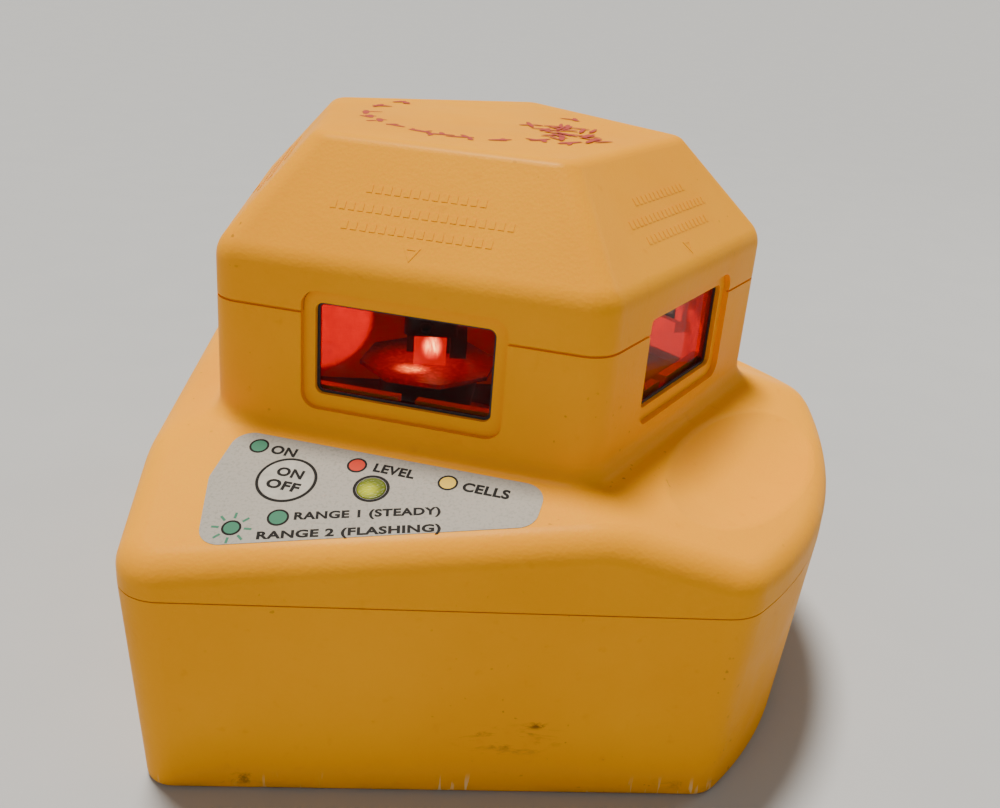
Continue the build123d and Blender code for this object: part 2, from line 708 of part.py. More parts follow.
grip_ribs = 4
grip_rib_pitch = 2.6
grip_rib_length = 34.0
grip_rib_relief = 0.6
with BuildPart() as battery_door:
    with BuildSketch(back_wall):
        with Locations((0, (door_foot + door_head) / 2)):
            RectangleRounded(2 * door_half_width, door_head - door_foot, 2.0)
    extrude(amount=-door_thickness)
    with Locations(back_wall * Pos(0, hinge_up, 0) * Rot(0, 90, 0)):
        Cylinder(hinge_radius, 2 * barrel_half_length)
    with BuildSketch(back_wall):
        with Locations((0, (door_head + hinge_up) / 2 - 0.6)):
            Rectangle(2 * barrel_half_length, hinge_up - door_head + 1.2)
    extrude(amount=-door_thickness * 0.8)
    # grip ribs near the free edge
    with BuildSketch(back_wall):
        with Locations((0, door_foot + 6.0)):
            with GridLocations(0, grip_rib_pitch, 1, grip_ribs):
                RectangleRounded(grip_rib_length, 1.2, 0.59)
    extrude(amount=grip_rib_relief)
    with Locations(back_wall * Pos(0, hinge_up, 0) * Rot(0, 90, 0)):
        Cylinder(hinge_pin_radius + running_gap, 200, mode=Mode.SUBTRACT)
save(battery_door, "battery_door")

with BuildPart() as door_hinge_pin:
    with Locations(back_wall * Pos(0, hinge_up, 0) * Rot(0, 90, 0)):
        Cylinder(hinge_pin_radius, hinge_pin_length)
save(door_hinge_pin, "door_hinge_pin")

# ---------------------------------------------------------------- main board
main_board_middle = (1.0, -62.0)
main_board_width = 92.0
main_board_depth = 36.0
with BuildPart() as main_board:
    with BuildSketch(Plane.XY.offset(board_z)):
        with Locations(main_board_middle):
            RectangleRounded(main_board_width, main_board_depth, 2.0)
        with Locations(*board_places):
            Circle(small_screw_radius, mode=Mode.SUBTRACT)
    extrude(amount=board_thickness)
save(main_board, "main_board")

# x, y, width, depth, height of each component on the main board
components = [
    (-12.0, -62.0, 12.0, 12.0, 1.6),
    (12.0, -66.0, 8.0, 6.0, 1.8),
    (24.0, -56.0, 10.0, 7.0, 6.0),
    (-28.0, -70.0, 9.0, 5.0, 5.5),
    (-30.0, -54.0, 5.0, 8.0, 3.0),
    (4.0, -52.0, 14.0, 4.5, 7.0),
    (36.0, -62.0, 5.0, 14.0, 6.5),
]
capacitor_places = [(-20.0, -50.0), (24.0, -72.0)]
capacitor_radius = 4.0
with BuildPart() as board_components:
    for x, y, width, depth, height in components:
        with Locations((x, y, board_z + board_thickness)):
            Box(width, depth, height, align=(Align.CENTER, Align.CENTER, Align.MIN))
    with Locations(*[(x, y, board_z + board_thickness) for x, y in capacitor_places]):
        Cylinder(capacitor_radius, 9.0, align=(Align.CENTER, Align.CENTER, Align.MIN))
save(board_components, "board_components")

with BuildPart() as board_screws:
    for x, y in board_places:
        add(screw(Plane((x, y, board_z + board_thickness)), 2.2, 1.5, post_hole_radius, 6.0))
    for x, y in panel_posts:
        seat = panel * Pos(x, y, -board_depth - board_thickness) * Rot(180, 0, 0)
        add(screw(Plane(seat), 2.2, 1.5, post_hole_radius, 4.0))
save(board_screws, "board_screws")

# ---------------------------------------------------------------- chassis
post_places = [(post_circle * cos(radians(a)), post_circle * sin(radians(a))) for a in post_angles]

with BuildPart() as chassis_posts:
    for x, y in post_places:
        with BuildSketch(Plane.XY.offset(post_floor_z)):
            with Locations((x, y)):
                RegularPolygon(post_radius, 6)
        extrude(amount=chassis_z - post_floor_z)
    for z in (post_floor_z, chassis_z):
        with Locations(*[(x, y, z) for x, y in post_places]):
            Cylinder(post_screw_radius, 2 * 10.0, mode=Mode.SUBTRACT)
save(chassis_posts, "chassis_posts")

with BuildPart() as chassis_plate:
    with BuildSketch(Plane.XY.offset(chassis_z)):
        Circle(chassis_radius)
        Circle(chassis_bore, mode=Mode.SUBTRACT)
        with Locations(*post_places):
            Circle(1.6, mode=Mode.SUBTRACT)
        with PolarLocations(30.0, 3, start_angle=-30.0):
            Circle(6.0, mode=Mode.SUBTRACT)
    extrude(amount=chassis_thickness)
    ear_height = gimbal_z + 6.0 - chassis_z
    for side in (-1, 1):
        with Locations((side * (ear_inner + ear_outer) / 2, 0, chassis_z)):
            Box(ear_outer - ear_inner, 12.0, ear_height, align=(Align.CENTER, Align.CENTER, Align.MIN))
    with Locations((0, 0, gimbal_z)):
        Cylinder(trunnion_bearing_radius, 100, rotation=(0, 90, 0), mode=Mode.SUBTRACT)
save(chassis_plate, "chassis_plate")

with BuildPart() as chassis_screws:
    for x, y in post_places:
        add(screw(Plane((x, y, chassis_z + chassis_thickness)), 2.8, 2.0, post_screw_radius, 10.0))
save(chassis_screws, "chassis_screws")

with BuildPart() as post_screws:
    for x, y in post_places:
        add(screw(facing_down(x, y, 2.5), 2.8, 2.0, post_screw_radius, 11.0))
save(post_screws, "post_screws")

# ---------------------------------------------------------------- gimbal
with BuildPart() as outer_gimbal_bearings:
    for side in (-1, 1):
        with Locations((side * (ear_inner + ear_outer) / 2, 0, gimbal_z)):
            Cylinder(trunnion_bearing_radius, ear_outer - ear_inner - 0.5, rotation=(0, 90, 0))
    with Locations((0, 0, gimbal_z)):
        Cylinder(trunnion_radius + running_gap, 100, rotation=(0, 90, 0), mode=Mode.SUBTRACT)
save(outer_gimbal_bearings, "outer_gimbal_bearings")

ring_wall = ring_outer_radius - ring_inner_radius
with BuildPart() as gimbal_ring:
    with Locations((0, 0, gimbal_z)):
        Cylinder(ring_outer_radius, ring_height)
        Cylinder(ring_inner_radius, ring_height, mode=Mode.SUBTRACT)
    fillet(gimbal_ring.edges().filter_by(GeomType.CIRCLE), 0.5)
    with Locations((0, 0, gimbal_z)):
        Cylinder(trunnion_radius, 100, rotation=(0, 90, 0), mode=Mode.SUBTRACT)
        Cylinder(trunnion_bearing_radius, 100, rotation=(90, 0, 0), mode=Mode.SUBTRACT)
save(gimbal_ring, "gimbal_ring")

with BuildPart() as gimbal_trunnions:
    for side in (-1, 1):
        with Locations((side * (ring_inner_radius + 0.5 + ear_outer) / 2, 0, gimbal_z)):
            Cylinder(trunnion_radius, ear_outer - ring_inner_radius - 0.5, rotation=(0, 90, 0))
save(gimbal_trunnions, "gimbal_trunnions")

with BuildPart() as inner_gimbal_bearings:
    for side in (-1, 1):
        with Locations((0, side * (ring_inner_radius + ring_wall / 2), gimbal_z)):
            Cylinder(trunnion_bearing_radius, ring_wall - 1.0, rotation=(90, 0, 0))
    with Locations((0, 0, gimbal_z)):
        Cylinder(trunnion_radius + running_gap, 100, rotation=(90, 0, 0), mode=Mode.SUBTRACT)
save(inner_gimbal_bearings, "inner_gimbal_bearings")

# ---------------------------------------------------------------- pendulum
tube_foot_z = damper_z + 2.0
bearing_low_z = 60.0
tube_top_z = 74.0
module_radius = 6.0

with BuildPart() as pendulum_tube:
    with BuildSketch(Plane.XY.offset(tube_foot_z)):
        Circle(tube_radius)
    extrude(amount=tube_top_z - tube_foot_z)
    with Locations((0, 0, tube_foot_z)):
        Cylinder(module_radius, 2 * (bearing_low_z - tube_foot_z), mode=Mode.SUBTRACT)
    with Locations((0, 0, tube_top_z)):
        Cylinder(bearing_radius, 2 * (tube_top_z - bearing_low_z), mode=Mode.SUBTRACT)
    with Locations((0, 0, gimbal_z)):
        Cylinder(trunnion_radius, 40, rotation=(90, 0, 0), mode=Mode.SUBTRACT)
save(pendulum_tube, "pendulum_tube")

with BuildPart() as pendulum_trunnions:
    for side in (-1, 1):
        with Locations((0, side * (module_radius + 0.3 + ring_outer_radius) / 2, gimbal_z)):
            Cylinder(trunnion_radius, ring_outer_radius - module_radius - 0.3, rotation=(90, 0, 0))
save(pendulum_trunnions, "pendulum_trunnions")

weight_radius = 14.0
weight_height = 11.0
with BuildPart() as pendulum_weight:
    with BuildSketch(Plane.XY.offset(tube_foot_z)):
        Circle(weight_radius)
        Circle(tube_radius, mode=Mode.SUBTRACT)
    extrude(amount=weight_height)
    top_rims = pendulum_weight.edges().group_by(Axis.Z)[-1]
    fillet(top_rims.sort_by(SortBy.RADIUS)[-1], 1.5)
save(pendulum_weight, "pendulum_weight")

with BuildPart() as damper_disc:
    with Locations((0, 0, damper_z)):
        Cylinder(damper_radius, 2.0, align=(Align.CENTER, Align.CENTER, Align.MIN))
        with PolarLocations(12.5, 8):
            Cylinder(1.2, 10.0, mode=Mode.SUBTRACT)
save(damper_disc, "damper_disc")

plate_radius = 15.0
plate_thickness = 1.8
with BuildPart() as magnet_plate:
    with Locations((0, 0, boss_height)):
        Cylinder(plate_radius, plate_thickness, align=(Align.CENTER, Align.CENTER, Align.MIN))
save(magnet_plate, "magnet_plate")

damper_magnet_circle = 9.5
damper_magnet_radius = 4.0
damper_magnet_height = 4.0
with BuildPart() as damper_magnets:
    with Locations((0, 0, boss_height + plate_thickness)):
        with PolarLocations(damper_magnet_circle, 4, start_angle=45.0):
            Cylinder(
                damper_magnet_radius,
                damper_magnet_height,
                align=(Align.CENTER, Align.CENTER, Align.MIN),
            )
save(damper_magnets, "damper_magnets")

module_foot_z = 34.0
module_length = 16.0
diode_radius = 2.8
lens_seat_depth = 2.5
collimator_radius = 3.5
with BuildPart() as laser_module:
    with Locations((0, 0, module_foot_z)):
        Cylinder(module_radius, module_length, align=(Align.CENTER, Align.CENTER, Align.MIN))
        Cylinder(diode_radius, 2 * 4.0, mode=Mode.SUBTRACT)
        Cylinder(1.5, 60.0, mode=Mode.SUBTRACT)
    with Locations((0, 0, module_foot_z + module_length)):
        Cylinder(collimator_radius, 2 * lens_seat_depth, mode=Mode.SUBTRACT)
save(laser_module, "laser_module")

with BuildPart() as laser_diode:
    with Locations((0, 0, module_foot_z)):
        Cylinder(diode_radius, 2.4, align=(Align.CENTER, Align.CENTER, Align.MIN))
        with Locations((1.0, 0, 0), (-0.5, 0.87, 0), (-0.5, -0.87, 0)):
            Cylinder(0.25, 2.8, align=(Align.CENTER, Align.CENTER, Align.MAX))
save(laser_diode, "laser_diode")

with BuildPart() as collimator_lens:
    with Locations((0, 0, module_foot_z + module_length - lens_seat_depth)):
        Cylinder(collimator_radius, 1.6, align=(Align.CENTER, Align.CENTER, Align.MIN))
save(collimator_lens, "collimator_lens")

motor_foot_z = 62.0
stator_radius = 9.7
stator_slots = 9
with BuildPart() as motor_stator:
    with BuildSketch(Plane.XY.offset(motor_foot_z)):
        Circle(stator_radius)
        Circle(tube_radius, mode=Mode.SUBTRACT)
        with PolarLocations(stator_radius + 0.3, stator_slots):
            Rectangle(1.6, 1.0, mode=Mode.SUBTRACT)
    extrude(amount=8.0)
save(motor_stator, "motor_stator")

with BuildPart() as rotor_bearings:
    for bearing_z in (bearing_low_z, tube_top_z - bearing_width):
        with BuildSketch(Plane.XY.offset(bearing_z)):
            Circle(bearing_radius)
            Circle(shaft_radius + running_gap, mode=Mode.SUBTRACT)
        extrude(amount=bearing_width)
save(rotor_bearings, "rotor_bearings")

# ---------------------------------------------------------------- rotor
disc_thickness = 1.2
dish_top_z = rotor_z - disc_thickness
dish_floor_z = dish_top_z - 1.3
holder_half = 9.0
holder_half_width = 7.5
leg_width = 2.4
leg_depth = 3.5
leg_places = [(side * 5.5, 7.0) for side in (-1, 1)]
magnet_inner = 10.2
magnet_outer = 11.4
shaft_foot_z = bearing_low_z - 0.5

with BuildPart() as rotor_shaft:
    with BuildSketch(Plane.XY.offset(shaft_foot_z)):
        Circle(shaft_radius)
        Circle(shaft_bore, mode=Mode.SUBTRACT)
    extrude(amount=rotor_z + 1.0 - shaft_foot_z)
save(rotor_shaft, "rotor_shaft")

with BuildPart() as rotor_dish:
    with BuildSketch(Plane.XZ):
        with BuildLine():
            Polyline(
                (magnet_outer, motor_foot_z),
                (magnet_outer + 0.9, motor_foot_z),
                (dish_radius, dish_top_z - 1.0),
                (disc_radius - 3.0, dish_top_z - 1.0),
                (disc_radius - 3.0, dish_top_z),
                (shaft_radius, dish_top_z),
                (shaft_radius, dish_floor_z),
                (magnet_outer, dish_floor_z),
                close=True,
            )
        make_face()
    revolve(axis=Axis.Z)
    with Locations(*[(x, y, dish_top_z) for x, y in leg_places]):
        Cylinder(prism_screw_radius, 2 * 5.0, mode=Mode.SUBTRACT)
save(rotor_dish, "rotor_dish")

with BuildPart() as motor_magnet:
    with BuildSketch(Plane.XY.offset(motor_foot_z + 1.0)):
        Circle(magnet_outer)
        Circle(magnet_inner, mode=Mode.SUBTRACT)
    extrude(amount=7.0)
save(motor_magnet, "motor_magnet")

with BuildPart() as rotor_disc:
    with BuildSketch(Plane.XY.offset(dish_top_z)):
        RegularPolygon(disc_radius, 8, rotation=disc_turn)
        Circle(shaft_radius, mode=Mode.SUBTRACT)
        with Locations(*leg_places):
            Circle(prism_screw_radius, mode=Mode.SUBTRACT)
    extrude(amount=disc_thickness)
save(rotor_disc, "rotor_disc")

block_half = 4.6
block_height = 10.0
with BuildPart() as beam_block:
    with BuildSketch(Plane.XZ.offset(-block_half)):
        with Locations((0, rotor_z + block_height / 2)):
            Rectangle(2 * block_half, block_height)
    extrude(amount=2 * block_half)
    fillet(beam_block.edges().filter_by(Axis.Y).group_by(Axis.Z)[-1], 1.4)
    with Locations((0, 0, rotor_z)):
        Cylinder(shaft_radius, 2 * 1.0, mode=Mode.SUBTRACT)
save(beam_block, "beam_block")

holder_foot_z = rotor_z + block_height
holder_top_z = prism_z + 10.0
prism_half = 6.1
relay_radius = 3.6
relay_at = (6.4, -1.5, 83.6)   # middle of the side lens, which faces the beam block
with BuildPart() as prism_holder:
    with Locations((0, 0, holder_foot_z)):
        Box(2 * holder_half_width, 2 * holder_half, holder_top_z - holder_foot_z,
            align=(Align.CENTER, Align.CENTER, Align.MIN))
    fillet(prism_holder.edges().filter_by(Axis.Z), 2.5)
    fillet(prism_holder.faces().sort_by(Axis.Z)[-1].edges(), 1.0)
    # chamber for the prism, open towards the beam; light well from below
    with Locations((0, -2.0, prism_z)):
        Box(2 * prism_half + 0.2, 2 * holder_half - 2.0, 2 * prism_half + 1.2, mode=Mode.SUBTRACT)
    with Locations((0, 0, holder_foot_z)):
        Cylinder(3.2, 2 * 8.0, mode=Mode.SUBTRACT)
    # legs that stand on the rotor disc
    with Locations(*[(x, y, rotor_z) for x, y in leg_places]):
        Box(leg_width, leg_depth, block_height + 0.5, align=(Align.CENTER, Align.CENTER, Align.MIN))
        Cylinder(prism_screw_radius, 2 * 5.0, mode=Mode.SUBTRACT)
    # side barrel for the relay lens, and a set screw boss on the front
    with Locations((relay_at[0] + 1.6, relay_at[1], relay_at[2])):
        Cylinder(relay_radius + 1.1, 4.6, rotation=(0, 90, 0))
    with Locations(relay_at):
        Cylinder(relay_radius, 2.0, rotation=(0, 90, 0), mode=Mode.SUBTRACT)
    with Locations((-1.5, -holder_half, holder_foot_z + 2.2)):
        Cylinder(1.9, 1.2, rotation=(90, 0, 0))
        Cylinder(1.3, 4.0, rotation=(90, 0, 0), mode=Mode.SUBTRACT)
save(prism_holder, "prism_holder")

with BuildPart() as relay_lens:
    with Locations((relay_at[0] + 0.2, relay_at[1], relay_at[2])):
        Cylinder(relay_radius, 1.4, rotation=(0, 90, 0))
    fillet(relay_lens.edges().group_by(Axis.X)[0], 0.6)
save(relay_lens, "relay_lens")

with BuildPart() as penta_prism:
    with BuildSketch(Plane.YZ.offset(-prism_half)):
        with BuildLine():
            Polyline(
                (-prism_half, prism_z - prism_half),
                (prism_half - 0.6, prism_z - prism_half),
                (prism_half - 0.6, prism_z + 2.0),
                (2.0, prism_z + prism_half),
                (-prism_half, prism_z + prism_half),
                close=True,
            )
        make_face()
    extrude(amount=2 * prism_half)
save(penta_prism, "penta_prism")

with BuildPart() as prism_screws:
    for x, y in leg_places:
        add(screw(facing_down(x, y, dish_floor_z), 1.6, 0.7, prism_screw_radius, 6.0))
save(prism_screws, "prism_screws")
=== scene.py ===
"""Looks of the rotating laser level: materials, panel print, laser light, studio and camera, in metres."""

import math
import random

import bmesh
import bpy
from mathutils import Matrix, Vector


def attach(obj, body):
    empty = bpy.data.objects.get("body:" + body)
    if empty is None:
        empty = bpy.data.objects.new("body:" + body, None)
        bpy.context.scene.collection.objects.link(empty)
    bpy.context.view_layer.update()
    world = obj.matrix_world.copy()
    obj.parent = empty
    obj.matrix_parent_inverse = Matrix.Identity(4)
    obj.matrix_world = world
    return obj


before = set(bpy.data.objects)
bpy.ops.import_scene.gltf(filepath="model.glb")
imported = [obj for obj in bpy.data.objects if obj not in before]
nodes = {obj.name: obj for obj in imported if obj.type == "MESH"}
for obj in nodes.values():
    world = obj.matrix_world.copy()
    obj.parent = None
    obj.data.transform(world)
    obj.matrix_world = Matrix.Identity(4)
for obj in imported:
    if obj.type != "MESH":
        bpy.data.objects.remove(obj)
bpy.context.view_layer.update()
MM = 0.001

# ------------------------------------------------------------------ the part's own planes, in mm
FACETS = (-108, -36, 36, 108, 180)  # directions that the turret's five sides face, in degrees
TURRET_X = 12.5  # the turret's centre, from the spin axis
APOTHEM = 64.3  # from the turret's centre to its walls
DECK_Z = 78.5  # height of the deck at those walls
DECK_SLOPE = 0.335  # fall of the deck for each mm away from them
ROOF_Z = 145.3
FLAT_APOTHEM = 39.0  # the flat of the roof, inside its rounded edge


def plane_matrix(origin, x_dir, z_dir):
    """World matrix of a plane given in mm: x_dir along, z_dir out."""
    z = Vector(z_dir).normalized()
    x = Vector(x_dir).normalized()
    y = z.cross(x)
    m = Matrix((x, y, z)).transposed().to_4x4()
    m.translation = Vector(origin) * MM
    return m


def facet(angle):
    """Deck facet under a turret face: x along the face, y up the slope."""
    nx, ny = math.cos(math.radians(angle)), math.sin(math.radians(angle))
    origin = (TURRET_X + APOTHEM * nx, APOTHEM * ny, DECK_Z)
    return plane_matrix(origin, (-ny, nx, 0), (DECK_SLOPE * nx, DECK_SLOPE * ny, 1))


PANEL = facet(FACETS[0])
ROOF = plane_matrix((TURRET_X, 0, ROOF_Z), (1, 0, 0), (0, 0, 1))

# places on the panel in mm: x along it, y up its slope
BUTTON = (-20.7, -17.1)
LENS_RING = (-1.0, -14.8)
LENS_GLOW = (-1.4, -15.6)
DOT_RANGE_2 = (-26.3, -33.8)


# ------------------------------------------------------------------ shader helper
class Net:
    """A material and shorthand for building its node tree."""

    COLOUR_A, COLOUR_B, COLOUR_RESULT = 6, 7, 2  # sockets of a Mix node that mixes colours

    def __init__(self, name, color, rough=0.5, metal=0.0):
        self.mat = bpy.data.materials.new(name)
        self.mat.use_nodes = True
        self.tree = self.mat.node_tree
        self.bsdf = self.tree.nodes["Principled BSDF"]
        self.out = self.tree.nodes["Material Output"]
        self.set("Base Color", (*color[:3], 1.0))
        self.set("Roughness", rough)
        self.set("Metallic", metal)
        self.coord = self.tree.nodes.new("ShaderNodeTexCoord").outputs["Object"]

    def set(self, name, value):
        self.bsdf.inputs[name].default_value = value

    def link(self, a, b):
        self.tree.links.new(a, b)

    def plug(self, socket, name):
        self.link(socket, self.bsdf.inputs[name])

    def put(self, socket, value):
        if hasattr(value, "is_output"):
            self.link(value, socket)
        else:
            socket.default_value = value

    def noise(self, scale, detail=3.0, rough=0.5, stretch=(1, 1, 1), distort=0.0):
        n = self.tree.nodes.new("ShaderNodeTexNoise")
        n.inputs["Scale"].default_value = scale
        n.inputs["Detail"].default_value = detail
        n.inputs["Roughness"].default_value = rough
        n.inputs["Distortion"].default_value = distort
        self.link(self.scaled(stretch), n.inputs["Vector"])
        return n.outputs["Fac"]

    def scaled(self, stretch):
        if tuple(stretch) == (1, 1, 1):
            return self.coord
        m = self.tree.nodes.new("ShaderNodeMapping")
        m.inputs["Scale"].default_value = stretch
        self.link(self.coord, m.inputs["Vector"])
        return m.outputs["Vector"]

    def voronoi(self, scale, feature="F1"):
        n = self.tree.nodes.new("ShaderNodeTexVoronoi")
        n.feature = feature
        n.inputs["Scale"].default_value = scale
        self.link(self.coord, n.inputs["Vector"])
        return n.outputs["Distance"]

    def math(self, op, a, b=0.0, clamp=False):
        n = self.tree.nodes.new("ShaderNodeMath")
        n.operation = op
        n.use_clamp = clamp
        self.put(n.inputs[0], a)
        self.put(n.inputs[1], b)
        return n.outputs[0]

    def steps(self, value, low, high, out_low=0.0, out_high=1.0):
        n = self.tree.nodes.new("ShaderNodeMapRange")
        n.interpolation_type = "SMOOTHSTEP"
        self.put(n.inputs["Value"], value)
        n.inputs["From Min"].default_value = low
        n.inputs["From Max"].default_value = high
        n.inputs["To Min"].default_value = out_low
        n.inputs["To Max"].default_value = out_high
        return n.outputs["Result"]

    def axis(self, index):
        s = self.tree.nodes.new("ShaderNodeSeparateXYZ")
        self.link(self.coord, s.inputs[0])
        return s.outputs[index]

    def near(self, centre, size):
        """Distance from a point in mm, measured in ellipsoid radii."""
        sub = self.tree.nodes.new("ShaderNodeVectorMath")
        sub.operation = "SUBTRACT"
        self.link(self.coord, sub.inputs[0])
        sub.inputs[1].default_value = [c * MM for c in centre]
        div = self.tree.nodes.new("ShaderNodeVectorMath")
        div.operation = "DIVIDE"
        self.link(sub.outputs[0], div.inputs[0])
        div.inputs[1].default_value = [s * MM for s in size]
        length = self.tree.nodes.new("ShaderNodeVectorMath")
        length.operation = "LENGTH"
        self.link(div.outputs[0], length.inputs[0])
        return length.outputs["Value"]

    def mix(self, fac, a, b):
        n = self.tree.nodes.new("ShaderNodeMix")
        n.data_type = "RGBA"
        self.put(n.inputs["Factor"], fac)
        for index, value in ((self.COLOUR_A, a), (self.COLOUR_B, b)):
            self.put(n.inputs[index], value if hasattr(value, "is_output") else (*value[:3], 1.0))
        return n.outputs[self.COLOUR_RESULT]

    def bump(self, height, distance, strength=1.0, normal=None):
        n = self.tree.nodes.new("ShaderNodeBump")
        n.inputs["Strength"].default_value = strength
        n.inputs["Distance"].default_value = distance
        self.link(height, n.inputs["Height"])
        if normal is not None:
            self.link(normal, n.inputs["Normal"])
        self.plug(n.outputs["Normal"], "Normal")
        return n.outputs["Normal"]


# ------------------------------------------------------------------ materials
YELLOW = (0.9, 0.36, 0.0005)
YELLOW_LIGHT = (0.92, 0.385, 0.0006)
YELLOW_DEEP = (0.85, 0.34, 0.0004)
YELLOW_SHADE = (0.66, 0.21, 0.002)
SPECK_BROWN = (0.2, 0.09, 0.02)
NICK_CREAM = (0.9, 0.72, 0.42)
FOOT_BROWN = (0.3, 0.17, 0.05)
NICK_HEIGHT = (7.5, 0.5)  # mm above the foot where nicks begin and where they are thickest
FOOT_DARK_HEIGHT = 3.2


def shell_material(name, wear):
    """Moulded yellow plastic with a fine stipple. Smudges in wear bring nicks at the foot and a brown
    darkening towards the bottom.
    """
    n = Net(name, YELLOW, 0.42)
    broad = n.noise(16.0, 4.0)
    fine = n.noise(260.0, 3.0)
    tone = n.mix(n.steps(broad, 0.3, 0.72), YELLOW_LIGHT, YELLOW_DEEP)
    tone = n.mix(n.steps(fine, 0.62, 0.85, 0.0, 0.25), tone, YELLOW_SHADE)
    specks = n.steps(n.noise(520.0, 1.0), 0.73, 0.78, 0.0, 0.5)
    specks = n.math("MULTIPLY", specks, n.steps(n.noise(30.0, 2.0), 0.5, 0.66))
    tone = n.mix(specks, tone, SPECK_BROWN)
    if wear:
        for centre, size, colour, amount, slant in wear:
            spot = n.steps(n.near(centre, size), 1.0, 0.25)
            streaks = n.steps(n.noise(120.0, 6.0, 0.7, slant, 0.6), 0.5, 0.68)
            mask = n.math("MULTIPLY", spot, streaks)
            tone = n.mix(n.math("MULTIPLY", mask, amount), tone, colour)
        # pale upright nicks round the foot, and a brown darkening in the lowest few mm, broken up by noise
        foot = n.steps(n.axis(2), NICK_HEIGHT[0] * MM, NICK_HEIGHT[1] * MM)
        nicks = n.steps(n.noise(420.0, 2.0, 0.5, (1.0, 1.0, 0.12)), 0.6, 0.68)
        patches = n.steps(n.noise(42.0, 2.0), 0.42, 0.6)
        nick = n.math("MULTIPLY", n.math("MULTIPLY", foot, nicks), patches)
        tone = n.mix(n.math("MULTIPLY", nick, 0.85), tone, NICK_CREAM)
        low = n.steps(n.axis(2), FOOT_DARK_HEIGHT * MM, 0.0)
        foot_dark = n.math("MULTIPLY", low, n.steps(n.noise(70.0, 3.0), 0.4, 0.6))
        tone = n.mix(n.math("MULTIPLY", foot_dark, 0.35), tone, FOOT_BROWN)
    n.plug(tone, "Base Color")
    n.plug(n.steps(n.noise(60.0, 3.0), 0.3, 0.7, 0.36, 0.5), "Roughness")
    n.set("IOR", 1.5)
    n.set("Specular IOR Level", 0.04)
    n.set("Specular Tint", (1.0, 0.82, 0.5, 1.0))
    n.set("Coat Weight", 0.05)
    n.set("Coat Roughness", 0.3)
    n.set("Subsurface Weight", 0.08)
    n.set("Subsurface Radius", (0.004, 0.0016, 0.0004))
    n.set("Subsurface Scale", 0.4)
    cells = n.voronoi(1150.0)
    height = n.math("ADD", n.math("MULTIPLY", cells, 0.7), n.math("MULTIPLY", n.noise(800.0, 2.0), 0.6))
    wave = n.bump(n.noise(9.0, 1.0), 0.0012, 0.12)
    n.bump(height, 0.00011, 0.5, wave)
    return n.mat


def black_rubber():
    """Matt black seal."""
    n = Net("gasket_rubber", (0.012, 0.01, 0.014), 0.62)
    n.plug(n.mix(n.noise(900.0, 2.0), (0.006, 0.005, 0.008), (0.03, 0.022, 0.035)), "Base Color")
    n.bump(n.noise(1400.0, 2.0), 0.00004, 0.4)
    return n.mat


def pane_material():
    """Thin pane: see-through with a warm grey tint that is painted shade darkening the view through it, a
    faint reflection and dust.
    """
    n = Net("pane_glass", (1, 1, 1), 0.05)
    tree = n.tree
    clear = tree.nodes.new("ShaderNodeBsdfTransparent")
    # warm grey see-through colour: painted shade that darkens what shows through the pane
    clear.inputs["Color"].default_value = (0.62, 0.52, 0.5, 1.0)
    shine = tree.nodes.new("ShaderNodeBsdfGlossy")
    shine.inputs["Roughness"].default_value = 0.04
    fresnel = tree.nodes.new("ShaderNodeFresnel")
    fresnel.inputs["IOR"].default_value = 1.45
    dust = n.steps(n.noise(140.0, 5.0, 0.65), 0.55, 0.8, 0.0, 0.02)
    mix = tree.nodes.new("ShaderNodeMixShader")
    n.link(n.math("ADD", n.math("MULTIPLY", fresnel.outputs[0], 0.18), dust), mix.inputs[0])
    n.link(clear.outputs[0], mix.inputs[1])
    n.link(shine.outputs[0], mix.inputs[2])
    n.link(mix.outputs[0], n.out.inputs["Surface"])
    return n.mat


def label_material():
    """Warm grey film with a fine speckle."""
    n = Net("label_film", (0.28, 0.265, 0.24), 0.55)
    speck = n.steps(n.noise(1500.0, 2.0), 0.45, 0.75)
    tone = n.mix(speck, (0.29, 0.275, 0.25), (0.215, 0.205, 0.187))
    tone = n.mix(n.steps(n.noise(45.0, 3.0), 0.4, 0.8, 0.0, 0.35), tone, (0.33, 0.315, 0.29))
    n.plug(tone, "Base Color")
    n.bump(n.noise(1600.0, 2.0), 0.00004, 0.35)
    return n.mat


def print_material(name, colour, rough=0.5):
    """Printing ink, slightly worn."""
    n = Net(name, colour, rough)
    worn = n.steps(n.noise(900.0, 3.0), 0.62, 0.85, 0.0, 0.3)
    n.plug(n.mix(worn, colour, [0.8 * c + 0.03 for c in colour]), "Base Color")
    n.set("Specular IOR Level", 0.08)
    n.bump(n.noise(1500.0, 2.0), 0.00002, 0.3)
    return n.mat


def lens_material():
    """Lit status lens: yellow-green, brightest in its lower half."""
    n = Net("lens_resin", (0.32, 0.34, 0.05), 0.22)
    centre = PANEL @ (Vector((*LENS_GLOW, 0)) * MM)
    lit = n.steps(n.near(centre / MM, (3.3, 3.3, 3.3)), 1.0, 0.1)
    n.plug(n.mix(lit, (0.1, 0.13, 0.01), (0.36, 0.4, 0.004)), "Base Color")
    n.plug(n.mix(lit, (0.04, 0.07, 0.0), (0.8, 0.9, 0.0)), "Emission Color")
    n.set("Emission Strength", 0.2)
    n.set("Specular IOR Level", 0.15)
    n.bump(n.voronoi(1700.0), 0.00008, 0.5)
    return n.mat


def board_material():
    """Green circuit board with a faint grid of tracks."""
    n = Net("solder_mask", (0.01, 0.1, 0.03), 0.35)
    grid = n.steps(n.voronoi(330.0, "DISTANCE_TO_EDGE"), 0.03, 0.07)
    n.plug(n.mix(grid, (0.02, 0.2, 0.07), (0.008, 0.09, 0.03)), "Base Color")
    n.bump(grid, 0.00004, 0.4)
    return n.mat


